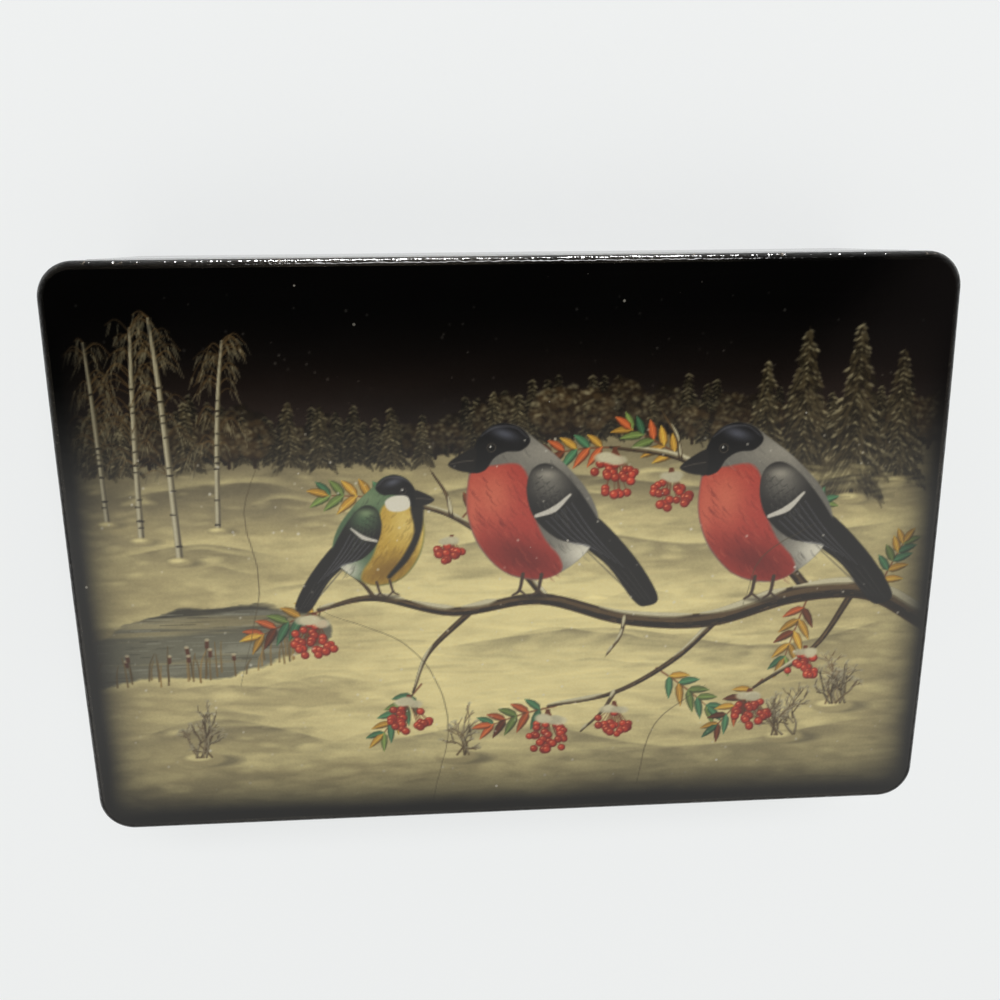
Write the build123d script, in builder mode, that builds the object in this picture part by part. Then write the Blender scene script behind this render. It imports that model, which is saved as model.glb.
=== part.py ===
"""Hinged papier-mache lacquer box with a gently arched lid.

The box stands on the ring of its wall, lid up. X runs along the length, the
hinge is along the back (+Y), and the floor it stands on is Z = 0.
"""

import os
from math import radians, tan

from build123d import *

# Overall outline
box_length = 200.0
box_depth = 134.0
corner_radius = 8.0
wall = 5.0
least_corner = 0.5

# Body
wall_height = 43.3
bottom_thickness = 4.0
bottom_recess = 1.0
foot_round = 0.8
seam_round = 0.4

# Inner lip that centres the lid
lip_thickness = 2.0
lip_depth = 11.0
lip_height = 3.5
lip_bevel = 0.5
lip_clearance = 0.4
glue_gap = 0.1

# Lid
rim_height = 6.5
lid_thickness = 4.0
lid_crown = 1.2
lid_edge_round = 1.6

# Hinge
hinge_length = 140.0
hinge_inset = 1.4
knuckle_count = 7
pin_diameter = 1.5
pin_clearance = 0.03
sheet = 0.6
knuckle_gap = 0.2
relief_clearance = 0.2
channel_clearance = 0.25
channel_end = 0.5
body_leaf_width = 9.0
lid_leaf_width = 5.0
kerf_clearance = 0.06
bevel_angle = 51.0

# Rivets through the hinge leaves
rivet_count = 3
rivet_diameter = 1.2
rivet_length = 3.2
rivet_clearance = 0.05
body_rivet_drop = 6.0
lid_rivet_rise = 3.4

# Derived positions
seam = wall_height
lid_base = seam + rim_height
half_depth = box_depth / 2
inner_face = half_depth - wall
hinge_y = half_depth - hinge_inset
pin_radius = pin_diameter / 2
bore_radius = pin_radius + pin_clearance
knuckle_radius = bore_radius + sheet
leaf_y = hinge_y - knuckle_radius + sheet / 2
hinge_start = -hinge_length / 2
pitch = hinge_length / knuckle_count
body_knuckles = range(0, knuckle_count, 2)
lid_knuckles = range(1, knuckle_count, 2)
rivet_pitch = hinge_length / rivet_count


def outline(inset, mode=Mode.ADD):
    """Rounded plan of the box, drawn in by the inset all round."""
    RectangleRounded(
        box_length - 2 * inset,
        box_depth - 2 * inset,
        max(corner_radius - inset, least_corner),
        mode=mode,
    )


def ring(base, height, outer_inset, inner_inset):
    """Upright ring between two insets of the plan."""
    with BuildSketch(Plane.XY.offset(base)) as section:
        outline(outer_inset)
        outline(inner_inset, Mode.SUBTRACT)
    extrude(section.sketch, amount=height)


def bar(start, length, y, z, width, height, mode=Mode.ADD):
    """Straight bar along the hinge with a rectangular section centred on y, z."""
    with BuildSketch(Plane.YZ.offset(start)) as section:
        with Locations((y, z)):
            Rectangle(width, height)
    extrude(section.sketch, amount=length, mode=mode)


def rod(start, length, radius, mode=Mode.ADD):
    """Round rod on the hinge axis."""
    with BuildSketch(Plane.YZ.offset(start)) as section:
        with Locations((hinge_y, seam)):
            Circle(radius)
    extrude(section.sketch, amount=length, mode=mode)


def stop_bevel(side):
    """Slope away the back edge from the hinge axis outward; side is -1 below, 1 above."""
    reach = hinge_inset + corner_radius
    with BuildSketch(Plane.YZ.offset(-box_length)) as wedge:
        with BuildLine():
            Polyline(
                (hinge_y, seam),
                (hinge_y + reach, seam),
                (hinge_y + reach, seam + side * reach * tan(radians(bevel_angle))),
                close=True,
            )
        make_face()
    extrude(wedge.sketch, amount=2 * box_length, mode=Mode.SUBTRACT)


def hinge_bed(leaf_width, side):
    """Cut the barrel channel and the kerf that takes one hinge leaf."""
    depth = leaf_width + kerf_clearance
    rod(
        hinge_start - channel_end,
        hinge_length + 2 * channel_end,
        knuckle_radius + channel_clearance,
        Mode.SUBTRACT,
    )
    bar(
        hinge_start - kerf_clearance,
        hinge_length + 2 * kerf_clearance,
        leaf_y,
        seam + side * depth / 2,
        sheet + 2 * kerf_clearance,
        depth,
        Mode.SUBTRACT,
    )


def rivets(z, radius, length, mode=Mode.ADD):
    """Row of round pins from the inner face of the back wall outward."""
    inner_plane = Plane(origin=(0, inner_face, z), x_dir=(1, 0, 0), z_dir=(0, 1, 0))
    with BuildSketch(inner_plane) as row:
        with GridLocations(rivet_pitch, 0, rivet_count, 1):
            Circle(radius)
    extrude(row.sketch, amount=length, mode=mode)


def leaf(width, side, own_knuckles, other_knuckles, rivet_z):
    """Sheet leaf with rolled knuckles, relieved where the other leaf's knuckles turn."""
    bar(hinge_start, hinge_length, leaf_y, seam + side * width / 2, sheet, width)
    for index in other_knuckles:
        rod(
            hinge_start + index * pitch,
            pitch,
            knuckle_radius + relief_clearance,
            Mode.SUBTRACT,
        )
    for index in own_knuckles:
        rod(
            hinge_start + index * pitch + knuckle_gap / 2,
            pitch - knuckle_gap,
            knuckle_radius,
        )
    rod(hinge_start, hinge_length, bore_radius, Mode.SUBTRACT)
    rivets(rivet_z, rivet_diameter / 2 + rivet_clearance, wall, Mode.SUBTRACT)


# Wound ring of the body; it stands on its lower edge
with BuildPart() as side_wall:
    ring(0, wall_height, 0, wall)
    fillet(side_wall.faces().sort_by(Axis.Z)[0].outer_wire().edges(), foot_round)
    fillet(side_wall.faces().sort_by(Axis.Z)[-1].outer_wire().edges(), seam_round)
    stop_bevel(-1)
    hinge_bed(body_leaf_width, -1)
    rivets(
        seam - body_rivet_drop,
        rivet_diameter / 2 + rivet_clearance,
        rivet_length + rivet_clearance,
        Mode.SUBTRACT,
    )
side_wall.part.label = "side_wall"

# Floor, glued inside the wall and held clear of the table
with BuildPart() as bottom_panel:
    with BuildSketch(Plane.XY.offset(bottom_recess)):
        outline(wall + glue_gap)
    extrude(amount=bottom_thickness)
bottom_panel.part.label = "bottom_panel"

# Lip, glued inside the wall; its free part stands up into the lid
with BuildPart() as inner_lip:
    ring(seam - lip_depth, lip_depth, wall + glue_gap, wall + lip_thickness)
    ring(seam, lip_height, wall + lip_clearance, wall + lip_thickness)
    chamfer(inner_lip.faces().sort_by(Axis.Z)[-1].edges(), lip_bevel)
inner_lip.part.label = "inner_lip"

# Low ring of the lid, sawn from the same winding as the wall
with BuildPart() as lid_rim:
    ring(seam, rim_height, 0, wall)
    fillet(lid_rim.faces().sort_by(Axis.Z)[0].outer_wire().edges(), seam_round)
    stop_bevel(1)
    hinge_bed(lid_leaf_width, 1)
    rivets(
        seam + lid_rivet_rise,
        rivet_diameter / 2 + rivet_clearance,
        rivet_length + rivet_clearance,
        Mode.SUBTRACT,
    )
lid_rim.part.label = "lid_rim"

# Lid plate, glued on the rim; its top is a shallow vault from front to back
lid_top = lid_base + lid_thickness + lid_crown
lid_edge = lid_base + lid_thickness
with BuildPart() as lid_panel:
    with BuildSketch(Plane.YZ.offset(-box_length / 2)):
        with BuildLine():
            Polyline(
                (-half_depth, lid_edge),
                (-half_depth, lid_base),
                (half_depth, lid_base),
                (half_depth, lid_edge),
            )
            ThreePointArc((half_depth, lid_edge), (0, lid_top), (-half_depth, lid_edge))
        make_face()
    extrude(amount=box_length)
    fillet(lid_panel.edges().filter_by(Axis.Z), corner_radius)
    fillet(lid_panel.faces().sort_by(Axis.Z)[-1].edges(), lid_edge_round)
lid_panel.part.label = "lid_panel"

# Hinge
with BuildPart() as hinge_body_leaf:
    leaf(body_leaf_width, -1, body_knuckles, lid_knuckles, seam - body_rivet_drop)
hinge_body_leaf.part.label = "hinge_body_leaf"

with BuildPart() as hinge_lid_leaf:
    leaf(lid_leaf_width, 1, lid_knuckles, body_knuckles, seam + lid_rivet_rise)
hinge_lid_leaf.part.label = "hinge_lid_leaf"

with BuildPart() as hinge_pin:
    rod(hinge_start, hinge_length, pin_radius)
hinge_pin.part.label = "hinge_pin"

with BuildPart() as body_leaf_rivets:
    rivets(seam - body_rivet_drop, rivet_diameter / 2, rivet_length)
body_leaf_rivets.part.label = "body_leaf_rivets"

with BuildPart() as lid_leaf_rivets:
    rivets(seam + lid_rivet_rise, rivet_diameter / 2, rivet_length)
lid_leaf_rivets.part.label = "lid_leaf_rivets"

os.makedirs("parts", exist_ok=True)
export_step(side_wall.part, "parts/side_wall.step")
export_step(bottom_panel.part, "parts/bottom_panel.step")
export_step(inner_lip.part, "parts/inner_lip.step")
export_step(lid_rim.part, "parts/lid_rim.step")
export_step(lid_panel.part, "parts/lid_panel.step")
export_step(hinge_body_leaf.part, "parts/hinge_body_leaf.step")
export_step(hinge_lid_leaf.part, "parts/hinge_lid_leaf.step")
export_step(hinge_pin.part, "parts/hinge_pin.step")
export_step(body_leaf_rivets.part, "parts/body_leaf_rivets.step")
export_step(lid_leaf_rivets.part, "parts/lid_leaf_rivets.step")
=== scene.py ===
import math

import bpy
import numpy as np
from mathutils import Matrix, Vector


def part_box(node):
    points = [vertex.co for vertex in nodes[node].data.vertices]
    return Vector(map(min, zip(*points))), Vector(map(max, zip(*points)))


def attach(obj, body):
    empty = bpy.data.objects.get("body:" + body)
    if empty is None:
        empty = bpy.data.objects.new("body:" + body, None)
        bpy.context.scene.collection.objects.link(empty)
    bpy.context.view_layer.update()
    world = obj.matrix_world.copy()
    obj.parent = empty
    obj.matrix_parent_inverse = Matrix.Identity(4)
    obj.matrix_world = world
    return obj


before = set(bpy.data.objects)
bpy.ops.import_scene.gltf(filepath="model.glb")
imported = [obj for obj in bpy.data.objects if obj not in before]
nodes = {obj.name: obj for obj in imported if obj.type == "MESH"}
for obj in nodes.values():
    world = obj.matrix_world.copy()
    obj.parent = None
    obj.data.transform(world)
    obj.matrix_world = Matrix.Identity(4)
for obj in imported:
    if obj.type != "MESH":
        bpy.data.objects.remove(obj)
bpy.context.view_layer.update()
print("frame loaded,", len(nodes), "pieces")


def deselectAll():
    if bpy.context.object and bpy.context.object.mode != "OBJECT":
        bpy.ops.object.mode_set(mode="OBJECT")
    bpy.ops.object.select_all(action="DESELECT")


def asLight(screen):  # colours as they look on screen, 0 to 1, as the light that a shader reads
    return np.where(screen < 0.0404, screen / 12.92, ((screen + 0.055) / 1.055) ** 2.4)


def shown(r, g, b):  # a colour as it looks on screen, 0 to 255, for a shader socket
    return asLight(np.array((r, g, b)) / 255).tolist()


# the lid's picture: a canvas in millimetres on the lid, colours as they look on screen

lidPicture = {
    "halfX": 98.2, "halfY": 65.2, "corner": 6.2,  # painted field, up to the lid's rounded edge
    "columns": 714, "rows": 118, "bands": 4,  # squares across, squares up each band, bands up the lid
    "crown": 0.0012,  # rise of the lid's arch, metres
    "proud": 0.00002, "deep": 0.00010, "smoothAngle": 0.6,  # paint film over and into the lid, metres
    "seed": 7,
}

winterColours = {
    "black": (3, 3, 3), "horizon": (40, 30, 25),
    "snowLit": (234, 218, 154), "snow": (178, 163, 114),
    "snowShade": (130, 119, 88), "snowDeep": (84, 77, 58),
    "ice": (104, 102, 84), "iceGleam": (158, 156, 134),
    "firDark": (34, 29, 19), "firMid": (66, 57, 38), "firSnow": (158, 147, 112),
    "bark": (52, 37, 22), "barkLit": (112, 88, 54), "frost": (206, 197, 160),
    "berry": (196, 62, 38), "berryDeep": (104, 22, 16), "berryLit": (244, 150, 104),
    "leafYellow": (196, 146, 54), "leafOrange": (192, 92, 46), "leafGreen": (70, 116, 78),
    "leafRust": (104, 52, 26), "leafLime": (112, 132, 66), "reed": (150, 118, 62),
    "wing": (22, 20, 19), "white": (226, 220, 198),
}
col = {name: np.array(value, float) for name, value in winterColours.items()}


def newCanvas():
    halfX, halfY = lidPicture["halfX"], lidPicture["halfY"]
    xs = np.linspace(-halfX, halfX, lidPicture["columns"] + 1)
    ys = np.linspace(-halfY, halfY, lidPicture["rows"] * lidPicture["bands"] + 1)
    return {"xs": xs, "ys": ys, "rgb": np.zeros((len(ys), len(xs), 3)), "step": xs[1] - xs[0]}


canvas = newCanvas()


def window(xLow, xHigh, yLow, yHigh):  # the part of the canvas between these lines
    i0, i1 = np.searchsorted(canvas["xs"], (xLow, xHigh))
    j0, j1 = np.searchsorted(canvas["ys"], (yLow, yHigh))
    if i1 - i0 < 1 or j1 - j0 < 1:
        return None
    x, y = np.meshgrid(canvas["xs"][i0:i1], canvas["ys"][j0:j1])
    return (slice(j0, j1), slice(i0, i1)), x, y


def around(p, pad):
    return window(p[:, 0].min() - pad, p[:, 0].max() + pad, p[:, 1].min() - pad, p[:, 1].max() + pad)


def toneAt(x, y):
    return canvas["rgb"][np.searchsorted(canvas["ys"], y), np.searchsorted(canvas["xs"], x)]


def lay(part, colour, alpha):
    rgb = canvas["rgb"][part]
    rgb += (np.asarray(colour, float) - rgb) * alpha[..., None]


def ramp(a, b, v):  # 0 at a, 1 at b, smooth between
    t = np.clip((v - a) / (b - a), 0.0, 1.0)
    return t * t * (3 - 2 * t)


def latticeValue(ix, iy, seed):  # a fixed scatter of values, one for each whole step
    h = np.sin(ix * 127.1 + iy * 311.7 + seed * 74.7) * 43758.5453
    return h - np.floor(h)


def cloud(x, y, scaleX, scaleY, seed, octaves=4):  # soft blotches, 0 to 1
    total, weight, gain = 0.0, 0.0, 1.0
    for o in range(octaves):
        u, v = x / scaleX * 2 ** o + seed * 13.7, y / scaleY * 2 ** o + seed * 5.3
        iu, iv = np.floor(u), np.floor(v)
        fu, fv = u - iu, v - iv
        fu, fv = fu * fu * (3 - 2 * fu), fv * fv * (3 - 2 * fv)
        low = latticeValue(iu, iv, seed + o) * (1 - fu) + latticeValue(iu + 1, iv, seed + o) * fu
        high = latticeValue(iu, iv + 1, seed + o) * (1 - fu) + latticeValue(iu + 1, iv + 1, seed + o) * fu
        total = total + gain * (low * (1 - fv) + high * fv)
        weight += gain
        gain *= 0.5
    return total / weight


def evenly(values, count):  # values spread along a run of so many points
    return np.interp(np.linspace(0, 1, count), np.linspace(0, 1, len(values)), values)


def through(points, fine, closed=False):  # a smooth run through the points
    p = np.asarray(points, float)
    if len(p) == 2 and not closed:
        t = np.linspace(0, 1, fine + 1)[:, None]
        return p[0] * (1 - t) + p[1] * t
    if closed:
        q = np.vstack([p[-1:], p, p[:2]])
    else:
        q = np.vstack([2 * p[:1] - p[1:2], p, 2 * p[-1:] - p[-2:-1]])
    t = (np.arange(fine) / fine)[:, None]
    run = []
    for k in range(len(q) - 3):
        a, b, c, d = q[k:k + 4]
        run.append(b + 0.5 * t * (c - a + t * (2 * a - 5 * b + 4 * c - d + t * (3 * (b - c) + d - a))))
    if not closed:
        run.append(p[-1:])
    return np.vstack(run)


def besideRun(x, y, start, end):  # how far along a straight run each point lies, and how far off it
    (ax, ay), (ex, ey) = start, end - start
    t = np.clip(((x - ax) * ex + (y - ay) * ey) / max(ex * ex + ey * ey, 1e-9), 0, 1)
    return t, np.hypot(x - ax - t * ex, y - ay - t * ey)


def turned(x, y, cx, cy, turn):  # places measured from a point, on turned axes
    c, s = np.cos(turn), np.sin(turn)
    return (x - cx) * c + (y - cy) * s, (y - cy) * c - (x - cx) * s


def stroke(points, widths, colour, opacity=1.0, soft=0.35, fine=5):
    p = through(points, fine)
    w = evenly(widths, len(p)) / 2
    found = around(p, w.max() + soft + canvas["step"])
    if found is None:
        return
    part, x, y = found
    best = np.full(x.shape, -9.0)
    for k in range(len(p) - 1):
        t, off = besideRun(x, y, p[k], p[k + 1])
        np.maximum(best, w[k] + (w[k + 1] - w[k]) * t - off, out=best)
    lay(part, colour, opacity * np.clip(best / soft + 0.5, 0, 1))


def spot(cx, cy, rx, ry, colour, opacity=1.0, turn=0.0, soft=0.3):
    r = max(rx, ry) + soft + canvas["step"]
    found = window(cx - r, cx + r, cy - r, cy + r)
    if found is None:
        return
    part, x, y = found
    u, v = turned(x, y, cx, cy, turn)
    lay(part, colour, opacity * np.clip((1 - np.hypot(u / rx, v / ry)) * min(rx, ry) / soft + 0.5, 0, 1))


def glow(cx, cy, rx, ry, colour, opacity, clip, turn=0.0):  # a soft tone inside a shape
    part, x, y, mask = clip
    u, v = turned(x, y, cx, cy, turn)
    lay(part, colour, opacity * mask * np.exp(-1.6 * ((u / rx) ** 2 + (v / ry) ** 2)))


def patch(points, colour, opacity=1.0, soft=0.4, rough=0.0):  # a filled shape with a smooth outline
    p = through(points, 6, closed=True)
    part, x, y = around(p, 1)
    inside = np.zeros(x.shape, bool)
    near = np.full(x.shape, 1e9)
    for k in range(len(p)):
        (ax, ay), (bx, by) = p[k - 1], p[k]
        np.minimum(near, besideRun(x, y, p[k - 1], p[k])[1], out=near)
        if by != ay:
            inside ^= ((ay > y) != (by > y)) & (x < (bx - ax) * (y - ay) / (by - ay) + ax)
    depth = np.where(inside, near, -near)
    if rough:
        depth = depth + rough * (cloud(x, y, 7, 2.2, 61) - 0.5)
    mask = np.clip(depth / soft + 0.5, 0, 1)
    lay(part, colour, opacity * mask)
    return part, x, y, mask


def covers(clip, a, b):  # how much of a shape covers the point
    x, y, mask = clip[1:]
    i, j = np.searchsorted(x[0], a), np.searchsorted(y[:, 0], b)
    return mask[j, i] if 0 < i < x.shape[1] and 0 < j < x.shape[0] else 0.0


snowField = {
    "skyFrom": 24, "skyTo": 58, "skyline": 25.0, "swells": ((2.2, 31.0, 0.6), (1.1, 13.0, 0.0)),
    "lightAt": (6, -20), "lightSpan": (76, 42), "dim": 0.60, "lit": 0.45,
    "farFrom": 2, "farTo": 27, "farShade": 0.34, "drifts": 0.52, "grain": 0.14,
    "tones": ("snowDeep", "snowShade", "snow", "snowLit"), "toneStops": (0.0, 0.35, 0.68, 1.0),
    "strokes": 1500, "dabs": 2600, "smallBanks": 34, "bankDeep": 3.6, "bankEnds": 12,
    "banks": (
        ((-90, 16), (-60, 19), (-44, 16)), ((-26, 14), (10, 19), (50, 15), (86, 18)),
        ((-92, 2), (-70, 5), (-50, 1)), ((-22, 2), (12, 6), (44, 2), (90, 6)),
        ((-20, -22), (20, -18), (60, -24), (92, -18)), ((-36, -46), (0, -42), (40, -50), (88, -44)),
        ((-94, -44), (-70, -38), (-40, -46)),
    ),
}


def skyline(x):
    line = snowField["skyline"]
    for rise, long, shift in snowField["swells"]:
        line = line + rise * np.sin(x / long + shift)
    return line


def paintGround():
    field = snowField
    x, y = np.meshgrid(canvas["xs"], canvas["ys"])
    high = ramp(field["skyFrom"], field["skyTo"], y)[..., None]
    sky = col["horizon"] * (1 - high) + col["black"] * high
    sky = sky * (0.55 + 0.9 * cloud(x, y, 46, 16, 3)[..., None])
    (lightX, lightY), (spanX, spanY) = field["lightAt"], field["lightSpan"]
    pool = np.exp(-((x - lightX) / spanX) ** 2 - ((y - lightY) / spanY) ** 2)
    light = field["dim"] + field["lit"] * pool
    light -= field["farShade"] * ramp(field["farFrom"], field["farTo"], y)
    light += field["drifts"] * (cloud(x + 0.3 * y, y, 30, 6.5, 11) - 0.5)
    light += field["grain"] * (cloud(x, y, 4.5, 1.7, 5) - 0.5)
    tones = np.array([col[name] for name in field["tones"]])
    snow = np.stack([np.interp(light, field["toneStops"], tones[:, k]) for k in range(3)], -1)
    below = ramp(0.5, -0.5, y - skyline(x))[..., None]
    canvas["rgb"][:] = sky * (1 - below) + snow * below


def snowBank(points, deep, strength=0.5, light=0.45):  # shade under a crest, light along it
    p = through(points, 10)
    part, x, y = window(p[:, 0].min(), p[:, 0].max(), p[:, 1].min() - 3 * deep, p[:, 1].max() + deep)
    crest = np.interp(x, p[:, 0], p[:, 1]) + 0.5 * (cloud(x, y, 6, 60, 21) - 0.5)
    left, right, reach = p[0, 0], p[-1, 0], snowField["bankEnds"]
    ends = ramp(left, left + reach, x) * ramp(right, right - reach, x)
    below = crest - y
    shade = np.where(below > 0, np.exp(-below / deep), 0) * ramp(-0.2, 0.5, below)
    lay(part, col["snowDeep"], strength * ends * shade)
    lay(part, col["snowLit"], light * ends * np.exp(-(below / (0.55 * deep)) ** 2) * ramp(0.4, -0.3, below))


def paintBanks(rng):
    for bank in snowField["banks"]:
        snowBank(bank, snowField["bankDeep"])
    for k in range(snowField["smallBanks"]):
        x, y, half = rng.uniform(-90, 90), rng.uniform(-56, 18), rng.uniform(7, 20)
        across = (x - half, x - 0.3 * half, x + 0.3 * half, x + half)
        rises = (y - 1, y + rng.uniform(0, 2), y + rng.uniform(0, 1.5), y - 1.2)
        snowBank(list(zip(across, rises)), rng.uniform(1.2, 2.6), 0.28, 0.5)


def brushSnow(rng):  # long strokes of the brush
    for k in range(snowField["strokes"]):
        x, y = rng.uniform(-97, 97), rng.uniform(-62, 22)
        run, slope = rng.uniform(1.5, 7) * (1.2 - y / 60), rng.uniform(-0.12, 0.12)
        tone = toneAt(x, y) * rng.uniform(0.84, 1.15)
        wide = rng.uniform(0.4, 1.3)
        middle = (x, y + rng.uniform(-0.3, 0.3))
        line = [(x - run, y - slope * run), middle, (x + run, y + slope * run)]
        stroke(line, [0.2, wide, 0.2], tone, rng.uniform(0.2, 0.5), soft=0.6, fine=3)


def dabSnow(rng):  # soft dabs of the brush, lighter on the rises
    for k in range(snowField["dabs"]):
        x, y = rng.uniform(-97, 97), rng.uniform(-62, 21)
        size = rng.uniform(0.5, 2.6) * (1.1 - y / 90)
        tone = col["snowLit"] * 1.04 if rng.rand() < 0.45 else toneAt(x, y) * rng.uniform(0.78, 1.1)
        flat, cover = size * rng.uniform(0.2, 0.4), rng.uniform(0.10, 0.34)
        spot(x, y, size, flat, tone, cover, turn=rng.uniform(-0.2, 0.2), soft=0.7)


def settle(x, y, wide):  # snow heaped round a stem
    spot(x + 0.5 * wide, y - 0.1 * wide, 1.3 * wide, 0.3 * wide, col["snowDeep"], 0.5, soft=0.8)
    spot(x, y, wide, 0.36 * wide, col["snow"], 0.9, soft=0.6)
    spot(x - 0.25 * wide, y + 0.12 * wide, 0.6 * wide, 0.18 * wide, col["snowLit"], 0.9, soft=0.5)


forest = {
    "rows": ((3.2, 10, 0.5, 1.2), (4.6, 11, 0.75, 0.2), (7.0, 12, 1.0, -0.8)),  # gap, height, light, lift
    "half": 98.0, "firShare": 0.42,
    "tallFirs": ((66, 17, 34), (57, 20, 24), (88, 16, 30), (78, 12, 40)),  # x, foot, height
}


def fir(rng, x, base, tall, wide, dim=1.0):
    dark, mid, snow = col["firDark"] * dim, col["firMid"] * dim, col["firSnow"] * (0.4 + 0.6 * dim)
    stroke([(x, base), (x, base + tall)], [0.06 * wide, 0.2], dark)
    levels = int(6 + tall / 1.7)
    tuft = 0.32 + 0.022 * tall
    for k in range(levels):
        t = k / levels
        level = base + tall * (0.08 + 0.92 * t)
        for side in (-1, 1):
            reach = 0.5 * wide * (1 - t) ** 0.9 * rng.uniform(0.62, 1.15) + 0.2
            drop = reach * rng.uniform(0.3, 0.62)
            count = int(2 + reach / (0.8 * tuft))
            for m in range(count):  # each bough is a row of hanging tufts, frosted above
                u = (m + rng.uniform(0, 0.8)) / count
                a, b = x + side * reach * u, level - drop * u ** 1.4 + rng.uniform(-0.3, 0.3) * tuft
                fall = tuft * rng.uniform(0.9, 2.0) * (1.2 - 0.6 * t)
                tone = dark if rng.rand() < 0.6 else mid
                hang = [(a, b), (a + side * 0.45 * fall, b - fall)]
                stroke(hang, [0.75 * tuft, 0.25], tone, 0.85, soft=0.5, fine=2)
                if rng.rand() < 0.6:
                    long, tone = tuft * rng.uniform(0.5, 0.95), snow * rng.uniform(0.75, 1.12)
                    cover, a, b = rng.uniform(0.35, 0.85), a + 0.2 * side * tuft, b + 0.25 * tuft
                    spot(a, b, long, tuft * 0.3, tone, cover, turn=-side * 0.5, soft=0.35)


def frostTree(rng, x, base, tall, wide, dim=1.0):  # a round crown, hoar frost in small dabs
    dark, mid = col["bark"] * 0.75 * dim, col["barkLit"] * 0.62 * dim
    snow = col["firSnow"] * (0.35 + 0.6 * dim)
    top = (x + rng.uniform(-0.4, 0.4), base + 0.6 * tall)
    stroke([(x, base), top], [0.05 * tall + 0.3, 0.3], dark)
    for share, tone, size, cover in ((0.5, dark, 1.2, 0.8), (0.7, mid, 0.8, 0.6), (0.9, snow, 0.42, 0.6)):
        for k in range(int(share * tall * wide * 0.75)):
            r, t = np.sqrt(rng.uniform(0, 1)), rng.uniform(0, 6.283)
            a, b = x + 0.5 * wide * r * np.cos(t), base + tall * (0.6 + 0.4 * r * np.sin(t))
            lift = 1.0
            if tone is snow:
                lift = 0.5 + 0.5 * ramp(-0.6, 0.8, np.sin(t) - 0.5 * np.cos(t))
            s = size * rng.uniform(0.6, 1.25)
            dab, thick = tone * rng.uniform(0.8, 1.15), cover * lift * rng.uniform(0.5, 1.0)
            spot(a, b, s, 0.7 * s, dab, thick, turn=rng.uniform(-1, 1), soft=0.6)


def paintForest(rng):
    for row, (gap, tall, dim, lift) in enumerate(forest["rows"]):
        x = -forest["half"]
        while x < forest["half"]:
            hill = float(0.55 + 0.6 * cloud(np.array(x), np.array(row * 9.0), 34, 9, 31))
            tallHere = tall * hill * rng.uniform(0.75, 1.25)
            foot = float(skyline(x)) + lift - 0.8
            if rng.rand() < forest["firShare"]:
                fir(rng, x, foot, 1.35 * tallHere, 0.62 * tallHere, dim)
            elif row < 2 or rng.rand() > 0.4:
                frostTree(rng, x, foot, tallHere, 0.78 * tallHere, dim)
            x += gap * rng.uniform(0.7, 1.3)
    for x, base, tall in forest["tallFirs"]:
        spot(x + 1, base + 0.4, tall * 0.2, 0.9, col["snowDeep"], 0.6, soft=1.2)
        fir(rng, x, base, tall, tall * 0.46)
        settle(x, base - 0.2, 0.09 * tall)


birches = {
    "stand": ((-83, 6, 47, 2), (-75, 1, 54, -2), (-66, 8, 42, 4), (-90, 10, 40, -1)),  # x, foot, tall, lean
    "bend": ((0, 0), (0.25, 0.4), (0.6, 0.75), (1, 1)),  # shares of the lean and of the height
    "twigs": 46, "marks": 15, "mark": (30, 25, 19),
    "trunk": (  # shift and widths as shares of the height, colour, cover
        (0, (0.030, 0.024, 0.016), (150, 141, 112), 1.0),
        (-0.006, (0.012, 0.010, 0.007), (196, 187, 154), 0.9),
        (0.009, (0.009, 0.008, 0.005), (74, 66, 48), 0.8),
    ),
}


def birch(rng, x, base, tall, lean):
    run = [(x + a * lean, base + b * tall) for a, b in birches["bend"]]
    p = through(run, 12)
    for k in range(birches["twigs"]):
        i = rng.randint(int(0.3 * len(p)), len(p))
        side = rng.choice((-1, 1))
        far = rng.uniform(2.5, 8.5) * (1.15 - 0.6 * i / len(p))
        a = p[i]
        b = a + (side * far * 0.55, far * rng.uniform(0.2, 0.6))
        c = b + (side * far * 0.5, -far * rng.uniform(0.2, 0.9))
        stroke([a, b, c], [0.35, 0.25, 0.15], col["barkLit"] * rng.uniform(0.5, 0.95), 0.8, fine=4)
        for m in range(3):  # frosted ends hang from each twig
            u = rng.uniform(0.3, 1.0)
            q = a * (1 - u) ** 2 + 2 * b * u * (1 - u) + c * u * u
            end = q + (side * rng.uniform(0.2, 1.2), -rng.uniform(1.0, 3.2))
            stroke([q, end], [0.22, 0.12], col["firSnow"] * rng.uniform(0.55, 1.0), 0.6, fine=2)
    for shift, sizes, tone, cover in birches["trunk"]:
        stroke([(a + shift * tall, b) for a, b in run], [s * tall for s in sizes] + [0.15], tone, cover)
    for k in range(birches["marks"]):
        i = rng.randint(0, int(0.7 * len(p)))
        wide = 0.026 * tall * (1 - 0.6 * i / len(p))
        a, b = p[i, 0] + rng.uniform(-0.3, 0.3) * wide, p[i, 1]
        mark = [(a - 0.4 * wide, b), (a + 0.4 * wide, b + rng.uniform(-0.2, 0.2))]
        stroke(mark, [0.35, 0.2], birches["mark"], 0.85, fine=2)
    settle(x, base, 0.05 * tall)


bushes = {
    "stand": ((78, -40, 9), (66, -48, 7), (-74, -48, 6), (-14, -50, 4)),  # x, foot, stems
    "heap": 5.0, "stem": 0.5, "forks": 3, "frost": 0.5,
}


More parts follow.
